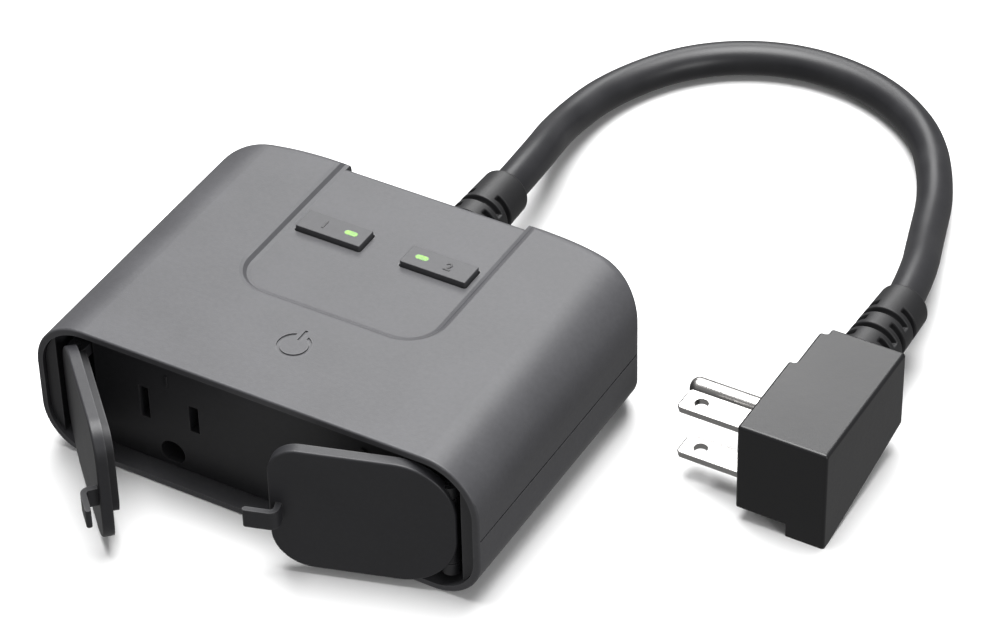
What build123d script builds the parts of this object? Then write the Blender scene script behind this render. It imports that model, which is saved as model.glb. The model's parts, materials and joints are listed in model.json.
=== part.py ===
"""Two-outlet outdoor smart plug with hinged outlet covers, a short cord and a flat angled plug.

Millimetres. +X runs along the outlet side from left to right, +Y runs from the outlets to the cord,
+Z is up. The origin is on the flat underside of the housing, on its middle line, 37 mm behind the rim
around the outlets.
"""
from build123d import *
import os
from math import pi, radians, tan

# ---- housing -------------------------------------------------------------------------------
WIDTH = 110.0
HEIGHT = 36.0
FRONT_Y = -37.0
BACK_Y = 42.0
SEAM_Z = 17.5
WALL = 2.2
RIM_WALL = 1.6
RIM_DEPTH = 8.6
RIM_ROUND = 0.5
TOP_CORNER = 13.0
BOTTOM_CORNER = 11.5
BACK_CORNER = (28.0, 11.0)
BACK_EDGE = 3.0
SEAM_STEP = 0.4
SEAM_GAP = 0.5
SEAL_WIDTH = 1.0
SEAL_DEPTH = 1.0
SEAL_INSET = 0.7
SEAL_BREAK = 14.4

# ---- sunken panel on top, open towards the cord and carried down the back wall -------------------
PANEL_WIDTH = 46.0
PANEL_FRONT_Y = -5.0
PANEL_DEPTH = 1.2
PANEL_CORNER = 7.0
PANEL_Z = HEIGHT - PANEL_DEPTH
PANEL_LOW_Z = 26.0
PANEL_SECTIONS = [(PANEL_LOW_Z, 0.0), (PANEL_Z, 0.0), (PANEL_Z + 0.25, 0.9), (PANEL_Z + 0.95, 1.7),
                  (HEIGHT, 2.5), (HEIGHT + 1, 2.5)]

# ---- engraved power mark in front of the panel ---------------------------------------------------
MARK_Y = -19.0
MARK_RADIUS = 3.5
MARK_LINE = 0.7
MARK_DEPTH = 0.3

# ---- push buttons ------------------------------------------------------------------------------
BUTTON_X = 13.3
BUTTON_Y = 19.0
BUTTON_SIZE = (16.4, 6.3)
BUTTON_CORNER = 0.35
BUTTON_EDGE = 0.2
BUTTON_PROUD = 1.4
BUTTON_CLEARANCE = 0.3
BUTTON_FLANGE_Z = 32.1
BUTTON_FLANGE = 0.8
BUTTON_LIP = 1.2
WINDOW_X = 9.0
WINDOW_SIZE = (3.2, 1.5)
STEM_SIZE = 3.6

# ---- outlets -----------------------------------------------------------------------------------
OUTLET_X = 24.6
FACE_SETBACK = 5.0
FACE_Y = FRONT_Y + FACE_SETBACK
FACE_BLOCK = 2.4
FACE_PLATE = 2.4
FACE_HALF_WIDTH = 43.4
BEZEL_X = 50.2
BEZEL_SETBACK = 1.0
FACE_FIT = 0.15
BLADE_PITCH = 12.7
GROUND_DROP = 11.9
SLOT_Z = 17.4
SLOT_WIDTH = 2.4
NEUTRAL_SLOT = 8.5
LINE_SLOT = 7.1
GROUND_HOLE = 6.2
GROUND_FLAT = 2.5
CARRIER_SIZE = (21.0, 15.0, 23.0)
CARRIER_Z = 14.4
CAVITY = (5.0, 9.6)
CONTACT_LENGTH = 12.0
CONTACT_SHEET = 0.8
CONTACT_GAP = 1.9

# ---- outlet covers -----------------------------------------------------------------------------
HINGE_X = 46.2
HINGE_Y = FRONT_Y + 3.2
PIN_RADIUS = 1.0
PIN_CLEARANCE = 0.05
BARREL_RADIUS = 2.1
EAR_HEIGHT = 3.0
EAR_LOW_Z = 4.2
EAR_HIGH_Z = 25.4
EAR_GAP = 0.25
COVER_THICKNESS = 2.6
COVER_FREE_X = 8.2
COVER_GAP = 0.35
COVER_TOP_CORNER = 7.0
COVER_LOW_CORNER = 9.0
COVER_HINGE_END = 48.3
COVER_HINGE_CORNER = 13.0
POCKET_SKIN = 1.0
COVER_PAD = 1.7
COVER_PAD_INSET = 7.2
RING_HINGE_END = 46.6
LEFT_COVER_OPEN = 45.0
RIGHT_COVER_OPEN = 17.0
SEAL_RING_INSET = 4.2
SEAL_RING_WIDTH = 2.2
SEAL_RING_DEPTH = 2.0
TAB_Z = 17.0
TAB_HEIGHT = 4.6
TAB_SHEET = 1.3
TAB_OUT = 3.8
TAB_LENGTH = 6.4
TAB_BEND = 1.4
TAB_ROOT = 2.2

# ---- inside ------------------------------------------------------------------------------------
BOARD = 1.6
POWER_BOARD_Z = 5.0
POWER_BOARD = (79.0, 31.0)
POWER_BOARD_Y = 6.5
CONTROL_BOARD_Z = 24.0
CONTROL_BOARD = (44.0, 22.0)
CONTROL_BOARD_Y = 19.5
RELAY = (15.5, 19.0, 15.5)
RELAY_PLACE = (30.0, 6.5)
HOUSING_SCREW_X = 44.0
HOUSING_SCREW_Y = (-18.5, 28.0)
BOSS_RADIUS = 3.5
STANDOFF_RADIUS = 2.2
POWER_SCREW_SPAN = (72.0, 24.0)
CONTROL_SCREW_SPAN = (39.0, 18.0)
CLAMP = (25.0, 6.0)
CLAMP_Y = 29.0
CLAMP_TOP = 22.6
CLAMP_SCREW_X = 9.0

# ---- cord and plug -----------------------------------------------------------------------------
CORD_DIAMETER = 8.5
CORD_Z = 16.0
BOOT_LENGTH = 29.0
BOOT_RADIUS = (6.7, 5.9)
BOOT_NECK = 6.2
BOOT_SOCKET = 5.0
GROOVE_WIDTH = 1.5
GROOVE_DEPTH = 1.5
GROOVE_PITCH = 3.0
GROOVE_BRIDGE = 6.0
BOOT_TIP_ROUND = 0.8
BOOT_GROOVES = (7.0, 5)
PLUG_FACE_X = 89.0
PLUG_WIDTH = 21.0
PLUG_FRONT_Y = 12.5
PLUG_BACK_Y = 51.0
PLUG_TOP = 26.0
PLUG_FOOT = 3.5
PLUG_FOOT_X = 12.0
PLUG_AXIS = (21.5, 13.0)
BLADE = (17.5, 6.35, 1.5)
BLADE_ROOT = 9.0
BLADE_HOLE = 3.2
GROUND_PIN = 4.75
PIN_LEAD = 4.0
PLUG_BOOT_X = 96.6
PLUG_BOOT_LENGTH = 29.0
PLUG_BOOT_GROOVES = (8.5, 5)

CORD_ROUTE = [
    (0, BACK_Y + BOOT_LENGTH - BOOT_SOCKET, CORD_Z),
    (-1, 87, 14.8),
    (-7, 109, 7),
    (-5.5, 131.5, 4.4),
    (6.5, 151.5, 4.4),
    (26.5, 163, 4.4),
    (49.5, 163, 4.4),
    (69.5, 151.5, 4.4),
    (81.5, 131.5, 4.4),
    (88, 110.5, 7.2),
    (94.5, 91.5, 12),
    (PLUG_BOOT_X, PLUG_BACK_Y + PLUG_BOOT_LENGTH - BOOT_SOCKET, PLUG_AXIS[1]),
]

os.makedirs("parts", exist_ok=True)


def save(part, name):
    """Label a finished piece and write it under its own name."""
    part.label = name
    export_step(part, f"parts/{name}.step")


def along_y(y):
    """Plane whose sketch X and Y are the part's X and Z, with its normal towards -Y, at height y."""
    return Plane.XZ.offset(-y)


def plan_outline(inset, front, back):
    """Housing's outline seen from above: straight sides and front, rounded corners at the back."""
    half = WIDTH / 2 - inset
    across, along = (reach - inset for reach in BACK_CORNER)
    with BuildSketch(Plane.XY, mode=Mode.PRIVATE) as plan:
        with BuildLine():
            Polyline((-half, back - along), (-half, front), (half, front), (half, back - along))
            EllipticalCenterArc((half - across, back - along), across, along, start_angle=0, arc_size=90)
            Line((half - across, back), (across - half, back))
            EllipticalCenterArc((across - half, back - along), across, along, start_angle=90, arc_size=90)
        make_face()
    return plan.sketch_local


def housing_blank(inset, front, back, back_round=None):
    """Solid with the housing's section, from front to back along Y.

    With back_round given, the back has the housing's rounded corners, and its edges have that radius.
    """
    with BuildPart() as blank:
        with BuildSketch(along_y(front)):
            with Locations((0, HEIGHT / 2)):
                Rectangle(WIDTH - 2 * inset, HEIGHT - 2 * inset)
        extrude(amount=-(back - front))
        sides = blank.edges().filter_by(Axis.Y)
        fillet(sides.group_by(Axis.Z)[-1], TOP_CORNER - inset)
        sides = blank.edges().filter_by(Axis.Y)
        fillet(sides.group_by(Axis.Z)[0], BOTTOM_CORNER - inset)
        if back_round is not None:
            with BuildSketch(Plane.XY):
                add(plan_outline(inset, front, back))
            extrude(amount=HEIGHT, mode=Mode.INTERSECT)
        if back_round:
            corner_y = back - BACK_CORNER[1] + inset
            rear = blank.edges().filter_by(
                lambda edge: edge.center().Y > corner_y - 0.1 and abs(edge.center().Z - HEIGHT / 2) > 6)
            fillet(rear, back_round)
    return blank.part


def box(x, y, z, size, mode=Mode.ADD):
    """Box that stands on z, centred on x and y."""
    with Locations((x, y, z + size[2] / 2)):
        Box(*size, mode=mode)


def post(x, y, low, high, radius, mode=Mode.ADD):
    """Upright cylinder from low to high."""
    with Locations((x, y, (low + high) / 2)):
        Cylinder(radius, high - low, mode=mode)


def mirrored(x):
    """The two places at -x and +x."""
    return (-x, x)


# ---- housing shells ----------------------------------------------------------------------------
with BuildPart() as outer_blank:
    add(housing_blank(0, FRONT_Y, BACK_Y, BACK_EDGE))
    fillet(outer_blank.faces().sort_by(Axis.Y)[0].edges(), RIM_ROUND)
OUTER = outer_blank.part
CAVITY_BLANK = housing_blank(WALL, FRONT_Y - 1, BACK_Y - WALL, 0)
MOUTH_BLANK = housing_blank(RIM_WALL, FRONT_Y - 1, FRONT_Y + RIM_DEPTH)
HOUSING_SCREWS = [(x, y) for x in mirrored(HOUSING_SCREW_X) for y in HOUSING_SCREW_Y]
CONTROL_SCREWS = [(x, CONTROL_BOARD_Y + y) for x in mirrored(CONTROL_SCREW_SPAN[0] / 2)
                  for y in mirrored(CONTROL_SCREW_SPAN[1] / 2)]
POWER_SCREWS = [(x, POWER_BOARD_Y + y) for x in mirrored(POWER_SCREW_SPAN[0] / 2)
                for y in mirrored(POWER_SCREW_SPAN[1] / 2)]


with BuildPart() as seal_blank:
    with BuildSketch(Plane.XY.offset(SEAM_Z - SEAL_DEPTH)):
        for inset, mode in ((SEAL_INSET, Mode.ADD), (SEAL_INSET + SEAL_WIDTH, Mode.SUBTRACT)):
            add(plan_outline(inset, FRONT_Y, BACK_Y - inset), mode=mode)
        with Locations((0, FRONT_Y)):
            Rectangle(WIDTH, 2 * RIM_DEPTH, mode=Mode.SUBTRACT)
        with Locations((0, BACK_Y)):
            Rectangle(SEAL_BREAK, 4 * SEAL_WIDTH, mode=Mode.SUBTRACT)
    extrude(amount=SEAL_DEPTH)
save(seal_blank.part, "housing_seal")

with BuildPart() as seam_groove:
    with BuildSketch(Plane.XY.offset(SEAM_Z)):
        add(plan_outline(-1, FRONT_Y + RIM_ROUND, BACK_Y + 1))
        add(plan_outline(SEAM_STEP, FRONT_Y, BACK_Y - SEAM_STEP), mode=Mode.SUBTRACT)
    extrude(amount=SEAM_GAP)

with BuildPart() as panel_cut:
    for section_z, spread in PANEL_SECTIONS:
        with BuildSketch(Plane.XY.offset(section_z)) as section:
            length = BACK_Y + 10 - PANEL_FRONT_Y + spread
            with Locations((0, BACK_Y + 10 - length / 2)):
                Rectangle(PANEL_WIDTH + 2 * spread, length)
            fillet(section.vertices().group_by(Axis.Y)[0], PANEL_CORNER + spread)
    loft(ruled=True)
    add(housing_blank(PANEL_DEPTH, FRONT_Y - 1, BACK_Y - PANEL_DEPTH, BACK_EDGE - PANEL_DEPTH),
        mode=Mode.SUBTRACT)

with BuildPart() as upper:
    add(OUTER)
    add(CAVITY_BLANK, mode=Mode.SUBTRACT)
    add(MOUTH_BLANK, mode=Mode.SUBTRACT)
    split(bisect_by=Plane.XY.offset(SEAM_Z), keep=Keep.TOP)
    for screw_x, screw_y in HOUSING_SCREWS:
        post(screw_x, screw_y, SEAM_Z, HEIGHT - WALL, BOSS_RADIUS)
    for screw_x, screw_y in CONTROL_SCREWS:
        post(screw_x, screw_y, CONTROL_BOARD_Z + BOARD, HEIGHT - WALL, STANDOFF_RADIUS)
    add(panel_cut.part, mode=Mode.SUBTRACT)
    add(seam_groove.part, mode=Mode.SUBTRACT)
    with BuildSketch(Plane.XY.offset(HEIGHT - WALL - 1)):
        with Locations(*[(x, BUTTON_Y) for x in mirrored(BUTTON_X)]):
            RectangleRounded(BUTTON_SIZE[0] + 2 * BUTTON_CLEARANCE,
                             BUTTON_SIZE[1] + 2 * BUTTON_CLEARANCE,
                             BUTTON_CORNER + BUTTON_CLEARANCE)
    extrude(amount=WALL + 2, mode=Mode.SUBTRACT)
    for screw_x, screw_y in HOUSING_SCREWS:
        post(screw_x, screw_y, SEAM_Z - 1, SEAM_Z + 9, 1.4, Mode.SUBTRACT)
    for screw_x, screw_y in CONTROL_SCREWS:
        post(screw_x, screw_y, CONTROL_BOARD_Z, CONTROL_BOARD_Z + BOARD + 5, 0.9, Mode.SUBTRACT)
    with Locations(Location((0, BACK_Y, CORD_Z), (90, 0, 0))):
        Cylinder(BOOT_NECK, 4 * WALL, mode=Mode.SUBTRACT)
    with BuildSketch(Plane.XY.offset(HEIGHT)):
        with Locations((0, MARK_Y)):
            Circle(MARK_RADIUS + MARK_LINE / 2)
            Circle(MARK_RADIUS - MARK_LINE / 2, mode=Mode.SUBTRACT)
        with Locations((0, MARK_Y + MARK_RADIUS)):
            Rectangle(4 * MARK_LINE, MARK_RADIUS, mode=Mode.SUBTRACT)
            Rectangle(MARK_LINE, MARK_RADIUS)
    extrude(amount=-MARK_DEPTH, mode=Mode.SUBTRACT)
save(upper.part, "upper_housing")

with BuildPart() as lower:
    add(OUTER)
    add(CAVITY_BLANK, mode=Mode.SUBTRACT)
    add(MOUTH_BLANK, mode=Mode.SUBTRACT)
    split(bisect_by=Plane.XY.offset(SEAM_Z), keep=Keep.BOTTOM)
    for screw_x, screw_y in HOUSING_SCREWS:
        post(screw_x, screw_y, WALL / 2, SEAM_Z, BOSS_RADIUS)
    for screw_x, screw_y in POWER_SCREWS:
        post(screw_x, screw_y, WALL / 2, POWER_BOARD_Z, STANDOFF_RADIUS)
    box(0, CLAMP_Y, WALL / 2, (CLAMP[0], CLAMP[1], CORD_Z - 0.3 - WALL / 2))
    with Locations(Location((0, CLAMP_Y, CORD_Z), (90, 0, 0))):
        Cylinder(CORD_DIAMETER / 2, 2 * CLAMP[1], mode=Mode.SUBTRACT)
    with Locations(Location((0, BACK_Y, CORD_Z), (90, 0, 0))):
        Cylinder(BOOT_NECK, 4 * WALL, mode=Mode.SUBTRACT)
    for screw_x, screw_y in HOUSING_SCREWS:
        post(screw_x, screw_y, -1, SEAM_Z + 1, 1.7, Mode.SUBTRACT)
        post(screw_x, screw_y, -1, 3.4, 3.0, Mode.SUBTRACT)
    for screw_x, screw_y in POWER_SCREWS:
        post(screw_x, screw_y, WALL, POWER_BOARD_Z + 1, 0.9, Mode.SUBTRACT)
    for screw_x in mirrored(CLAMP_SCREW_X):
        post(screw_x, CLAMP_Y, 5, CORD_Z, 1.2, Mode.SUBTRACT)
    add(seal_blank.part, mode=Mode.SUBTRACT)
save(lower.part, "lower_housing")


def screws(name, places, tip, under_head, shaft, head, head_height, upward=False):
    """Pan-head screws at the places given, as one group of separate solids.

    A screw whose head is at the bottom is driven upward.
    """
    with BuildPart() as group:
        for x, y in places:
            post(x, y, min(tip, under_head), max(tip, under_head), shaft)
            if upward:
                post(x, y, under_head - head_height, under_head, head)
            else:
                post(x, y, under_head, under_head + head_height, head)
            drive_z = under_head - head_height if upward else under_head + head_height
            with Locations((x, y, drive_z)):
                Box(0.6, head * 1.3, 1.2, mode=Mode.SUBTRACT)
                Box(head * 1.3, 0.6, 1.2, mode=Mode.SUBTRACT)
    save(group.part, name)


screws("housing_screws", HOUSING_SCREWS, SEAM_Z + 8, 3.4, 1.3, 2.7, 2.0, upward=True)
screws("power_board_screws", POWER_SCREWS, POWER_BOARD_Z - 2.5, POWER_BOARD_Z + BOARD, 0.85, 1.7, 1.2)
screws("control_board_screws", CONTROL_SCREWS, CONTROL_BOARD_Z + BOARD + 4, CONTROL_BOARD_Z,
       0.85, 1.7, 1.2, upward=True)
screws("clamp_screws", [(x, CLAMP_Y) for x in mirrored(CLAMP_SCREW_X)], 8, CLAMP_TOP - 1.5, 1.15, 2.2, 1.5)

# ---- outlet face with the hinge ears -------------------------------------------------------------
PLATE_FRONT = FACE_Y + FACE_BLOCK
PLATE_BACK = PLATE_FRONT + FACE_PLATE


def outlet_slots(x):
    """The three openings of one outlet, on a sketch plane whose Y is the part's Z."""
    with Locations((x - BLADE_PITCH / 2, SLOT_Z)):
        Rectangle(SLOT_WIDTH, NEUTRAL_SLOT)
    with Locations((x + BLADE_PITCH / 2, SLOT_Z)):
        Rectangle(SLOT_WIDTH, LINE_SLOT)
    with BuildSketch(along_y(0), mode=Mode.PRIVATE) as ground:
        with Locations((x, SLOT_Z - GROUND_DROP)):
            Circle(GROUND_HOLE / 2)
        with Locations((x, SLOT_Z - GROUND_DROP - GROUND_FLAT - 2)):
            Rectangle(2 * GROUND_HOLE, 4, mode=Mode.SUBTRACT)
    add(ground.sketch_local)


with BuildPart() as face_block:
    add(housing_blank(RIM_WALL + FACE_FIT, FACE_Y, PLATE_FRONT))
    box(0, FACE_Y, 0, (2 * FACE_HALF_WIDTH, 2 * FACE_SETBACK, HEIGHT), Mode.INTERSECT)

with BuildPart() as side_bezels:
    add(housing_blank(RIM_WALL + FACE_FIT, FRONT_Y + BEZEL_SETBACK, PLATE_FRONT))
    box(0, FRONT_Y, 0, (2 * BEZEL_X, 4 * FACE_SETBACK, HEIGHT), Mode.SUBTRACT)

with BuildPart() as face:
    add(housing_blank(WALL + FACE_FIT, PLATE_FRONT + 1, PLATE_BACK))
    add(housing_blank(RIM_WALL + FACE_FIT, PLATE_FRONT, PLATE_FRONT + 1))
    add(face_block.part)
    add(side_bezels.part)
    for hinge_x in mirrored(HINGE_X):
        for ear_z in (EAR_LOW_Z, EAR_HIGH_Z):
            post(hinge_x, HINGE_Y, ear_z, ear_z + EAR_HEIGHT, BARREL_RADIUS)
            box(hinge_x, (HINGE_Y + PLATE_FRONT) / 2, ear_z,
                (2 * BARREL_RADIUS, PLATE_FRONT - HINGE_Y, EAR_HEIGHT))
            post(hinge_x, HINGE_Y, ear_z - 1, ear_z + EAR_HEIGHT + 1, PIN_RADIUS, Mode.SUBTRACT)
    add(housing_blank(RIM_WALL + FACE_FIT, FRONT_Y, PLATE_BACK), mode=Mode.INTERSECT)
    with BuildSketch(along_y(FACE_Y - 1)):
        for outlet_x in mirrored(OUTLET_X):
            outlet_slots(outlet_x)
    extrude(amount=-(PLATE_BACK - FACE_Y + 2), mode=Mode.SUBTRACT)
save(face.part, "outlet_face")

for side, name in ((-1, "left"), (1, "right")):
    with BuildPart() as pin:
        post(side * HINGE_X, HINGE_Y, EAR_LOW_Z, EAR_HIGH_Z + EAR_HEIGHT, PIN_RADIUS)
    save(pin.part, f"hinge_pin_{name}")


# ---- outlet covers ---------------------------------------------------------------------------------
def cover_outline(inset, free_x, hinge_x):
    """Closed cover's outline on the current sketch: the mouth's shape, cut at both ends."""
    half = WIDTH / 2 - RIM_WALL - COVER_GAP - inset
    low = RIM_WALL + COVER_GAP + inset
    high = HEIGHT - low
    with BuildSketch(along_y(0), mode=Mode.PRIVATE) as mouth:
        with BuildLine():
            Polyline((0, low), (half, low), (half, high), (0, high), close=True)
        make_face()
        outer = mouth.vertices().group_by(Axis.X)[-1]
        fillet(outer.sort_by(Axis.Y)[-1], TOP_CORNER - low)
        outer = mouth.vertices().group_by(Axis.X)[-1]
        fillet(outer.sort_by(Axis.Y)[0], BOTTOM_CORNER - low)
        with Locations(((free_x + hinge_x) / 2, HEIGHT / 2)):
            Rectangle(hinge_x - free_x, HEIGHT, mode=Mode.INTERSECT)
        free = mouth.vertices().group_by(Axis.X)[0]
        fillet(free.sort_by(Axis.Y)[-1], COVER_TOP_CORNER - inset / 2)
        free = mouth.vertices().group_by(Axis.X)[0]
        fillet(free.sort_by(Axis.Y)[0], COVER_LOW_CORNER - inset / 2)
    return mouth.sketch_local


def ring_outline(inset, width=0.0):
    """Filled outline of the cover's sealing ring, or of the space inside it when width is given."""
    return cover_outline(inset + width, COVER_FREE_X + inset + width, RING_HINGE_END - inset - width)


def closed_cover():
    """The cover on the +X side, shut, with its hinge barrel, inner pad and finger tab."""
    with BuildPart() as cover:
        with BuildSketch(along_y(FRONT_Y)):
            add(cover_outline(0, COVER_FREE_X, COVER_HINGE_END))
        extrude(amount=-COVER_THICKNESS)
        with BuildSketch(along_y(FRONT_Y)):
            with Locations((0, HEIGHT / 2)):
                RectangleRounded(2 * COVER_HINGE_END, HEIGHT - 2 * (RIM_WALL + COVER_GAP),
                                 COVER_HINGE_CORNER)
        extrude(amount=-COVER_THICKNESS, mode=Mode.INTERSECT)
        fillet(cover.faces().sort_by(Axis.Y)[0].edges(), 0.5)
        for ear_z in (EAR_LOW_Z, EAR_HIGH_Z):
            box(HINGE_X + BARREL_RADIUS, FRONT_Y + POCKET_SKIN + COVER_THICKNESS / 2, ear_z - EAR_GAP,
                (4 * BARREL_RADIUS + 1, COVER_THICKNESS, EAR_HEIGHT + 2 * EAR_GAP), Mode.SUBTRACT)
        with BuildSketch(along_y(FRONT_Y + COVER_THICKNESS)):
            add(ring_outline(COVER_PAD_INSET))
        extrude(amount=-COVER_PAD)
        barrel_low = EAR_LOW_Z + EAR_HEIGHT + EAR_GAP
        post(HINGE_X, HINGE_Y, barrel_low, EAR_HIGH_Z - EAR_GAP, BARREL_RADIUS)
        post(HINGE_X, HINGE_Y, EAR_LOW_Z - EAR_GAP, EAR_HIGH_Z + EAR_HEIGHT + EAR_GAP,
             PIN_RADIUS + PIN_CLEARANCE, Mode.SUBTRACT)
        tab_x = COVER_FREE_X + TAB_ROOT
        tab_y = FRONT_Y - TAB_OUT + TAB_SHEET / 2
        with BuildSketch(Plane.XY.offset(TAB_Z - TAB_HEIGHT / 2)):
            with BuildLine():
                FilletPolyline((tab_x, FRONT_Y + 1), (tab_x, tab_y), (tab_x - TAB_LENGTH, tab_y),
                               radius=TAB_BEND)
                offset(amount=TAB_SHEET / 2, side=Side.BOTH)
            make_face()
        extrude(amount=TAB_HEIGHT)
    return cover.part


def closed_ring():
    """The soft ring inside the cover on the +X side, shut."""
    with BuildPart() as ring:
        with BuildSketch(along_y(FRONT_Y + COVER_THICKNESS)):
            add(ring_outline(SEAL_RING_INSET))
            add(ring_outline(SEAL_RING_INSET, SEAL_RING_WIDTH), mode=Mode.SUBTRACT)
        extrude(amount=-SEAL_RING_DEPTH)
    return ring.part


RIGHT_AXIS = Axis((HINGE_X, HINGE_Y, 0), (0, 0, 1))
LEFT_AXIS = Axis((-HINGE_X, HINGE_Y, 0), (0, 0, -1))
for shut, name in ((closed_cover(), "cover"), (closed_ring(), "cover_seal")):
    save(shut.rotate(RIGHT_AXIS, RIGHT_COVER_OPEN), f"right_{name}")
    save(shut.mirror(Plane.YZ).rotate(LEFT_AXIS, LEFT_COVER_OPEN), f"left_{name}")

# ---- outlet insides ----------------------------------------------------------------------------
CARRIER_Y = PLATE_BACK + CARRIER_SIZE[1] / 2
CONTACT_Y = PLATE_BACK + CONTACT_LENGTH / 2 + 0.4
LEAF_X = (CONTACT_GAP + CONTACT_SHEET) / 2


def clip(x, z, height):
    """Add a sheet clip that grips one blade: two leaves joined by a web at the back."""
    for side in (-1, 1):
        box(x + side * LEAF_X, CONTACT_Y, z - height / 2, (CONTACT_SHEET, CONTACT_LENGTH, height))
    box(x, CONTACT_Y + CONTACT_LENGTH / 2 + CONTACT_SHEET / 2, z - height / 2,
        (2 * LEAF_X + CONTACT_SHEET, CONTACT_SHEET, height))


for number, outlet_x in enumerate(mirrored(OUTLET_X), start=1):
    with BuildPart() as carrier:
        box(outlet_x, CARRIER_Y, CARRIER_Z - CARRIER_SIZE[2] / 2,
            (CARRIER_SIZE[0], CARRIER_SIZE[1], CARRIER_SIZE[2]))
        for slot_x in mirrored(BLADE_PITCH / 2):
            box(outlet_x + slot_x, CARRIER_Y, SLOT_Z - CAVITY[1] / 2,
                (CAVITY[0], CARRIER_SIZE[1] + 2, CAVITY[1]), Mode.SUBTRACT)
        with Locations(Location((outlet_x, CARRIER_Y, SLOT_Z - GROUND_DROP), (90, 0, 0))):
            Cylinder(GROUND_HOLE / 2 + 0.2, CARRIER_SIZE[1] + 2, mode=Mode.SUBTRACT)
        fillet(carrier.edges().filter_by(Axis.Y).group_by(Axis.X)[0], 1.0)
        fillet(carrier.edges().filter_by(Axis.Y).group_by(Axis.X)[-1], 1.0)
    save(carrier.part, f"outlet_carrier_{number}")

    with BuildPart() as line_contact:
        clip(outlet_x + BLADE_PITCH / 2, SLOT_Z, LINE_SLOT)
    save(line_contact.part, f"line_contact_{number}")

BUS_Y = PLATE_BACK + CARRIER_SIZE[1] + 0.5
BUS_SHEET = 0.8
with BuildPart() as neutral_bus:
    for outlet_x in mirrored(OUTLET_X):
        clip_x = outlet_x - BLADE_PITCH / 2
        clip(clip_x, SLOT_Z, LINE_SLOT)
        box(clip_x, (CONTACT_Y + CONTACT_LENGTH / 2 + BUS_Y) / 2 + 0.4, SLOT_Z - 1.5,
            (3, BUS_Y - CONTACT_Y - CONTACT_LENGTH / 2 + BUS_SHEET - 0.4, 3))
    box(-BLADE_PITCH / 2, BUS_Y + BUS_SHEET / 2, SLOT_Z - 1.5, (2 * OUTLET_X + 3, BUS_SHEET, 3))
save(neutral_bus.part, "neutral_bus")

with BuildPart() as ground_bus:
    for outlet_x in mirrored(OUTLET_X):
        with Locations(Location((outlet_x, (PLATE_BACK + 1 + BUS_Y) / 2, SLOT_Z - GROUND_DROP),
                                (90, 0, 0))):
            Cylinder(GROUND_HOLE / 2 - 0.1, BUS_Y - PLATE_BACK - 1)
            Cylinder(GROUND_PIN / 2 + 0.1, BUS_Y - PLATE_BACK + 4, mode=Mode.SUBTRACT)
        box(outlet_x, BUS_Y + BUS_SHEET / 2, SLOT_Z - GROUND_DROP - 1, (7, BUS_SHEET, 5))
    box(0, BUS_Y + BUS_SHEET / 2, SLOT_Z - GROUND_DROP + 1, (2 * OUTLET_X, BUS_SHEET, 3))
save(ground_bus.part, "ground_bus")

# ---- boards and what is on them ------------------------------------------------------------------
POWER_TOP = POWER_BOARD_Z + BOARD
CONTROL_TOP = CONTROL_BOARD_Z + BOARD

with BuildPart() as power_board:
    box(0, POWER_BOARD_Y, POWER_BOARD_Z, (*POWER_BOARD, BOARD))
    for screw_x, screw_y in POWER_SCREWS:
        post(screw_x, screw_y, 0, HEIGHT, 1.0, Mode.SUBTRACT)
    fillet(power_board.edges().filter_by(Axis.Z).group_by(SortBy.LENGTH)[0], 0.4)
save(power_board.part, "power_board")

with BuildPart() as control_board:
    box(0, CONTROL_BOARD_Y, CONTROL_BOARD_Z, (*CONTROL_BOARD, BOARD))
    for screw_x, screw_y in CONTROL_SCREWS:
        post(screw_x, screw_y, 0, HEIGHT, 1.0, Mode.SUBTRACT)
save(control_board.part, "control_board")

for number, relay_x in enumerate(mirrored(RELAY_PLACE[0]), start=1):
    with BuildPart() as relay:
        box(relay_x, RELAY_PLACE[1], POWER_TOP, RELAY)
        fillet(relay.edges().filter_by(Axis.Z), 0.8)
        chamfer(relay.faces().sort_by(Axis.Z)[-1].edges(), 0.4)
    save(relay.part, f"relay_{number}")

with BuildPart() as transformer:
    box(0, 1.5, POWER_TOP, (14, 12, 3))
    box(0, 1.5, POWER_TOP + 3, (9, 10, 8))
    box(0, 1.5, POWER_TOP + 11, (14, 12, 2.5))
    box(0, 1.5, POWER_TOP, (15.5, 5.5, 13.5))
save(transformer.part, "transformer")

with BuildPart() as capacitor:
    post(-14.5, 10, POWER_TOP, POWER_TOP + 14, 5)
    fillet(capacitor.faces().sort_by(Axis.Z)[-1].edges(), 0.6)
    post(-14.5, 10, POWER_TOP + 13.7, POWER_TOP + 15, 4, Mode.SUBTRACT)
save(capacitor.part, "storage_capacitor")

with BuildPart() as fuse:
    post(15, 14, POWER_TOP, POWER_TOP + 8, 4.2)
    fillet(fuse.faces().sort_by(Axis.Z)[-1].edges(), 0.5)
save(fuse.part, "fuse")

with BuildPart() as surge_disc:
    with Locations(Location((15, 4, POWER_TOP + 6), (90, 0, 0))):
        Cylinder(5.2, 4)
    fillet(surge_disc.edges().filter_by(GeomType.CIRCLE), 0.8)
    box(15, 4, POWER_TOP, (3.5, 1, 4))
save(surge_disc.part, "surge_absorber")

with BuildPart() as flat_cable:
    box(-20, 20, POWER_TOP, (5, 2, 3))
    box(-20, 20, POWER_TOP + 3, (4, 0.8, CONTROL_BOARD_Z - POWER_TOP - 5))
    box(-20, 20, CONTROL_BOARD_Z - 2, (5, 2, 2))
save(flat_cable.part, "board_link")

with BuildPart() as radio:
    box(0, CONTROL_BOARD_Y, CONTROL_TOP, (13, 16.6, 0.8))
    box(0, CONTROL_BOARD_Y - 2, CONTROL_TOP + 0.8, (11, 11, 1.8))
save(radio.part, "radio_module")

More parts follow.
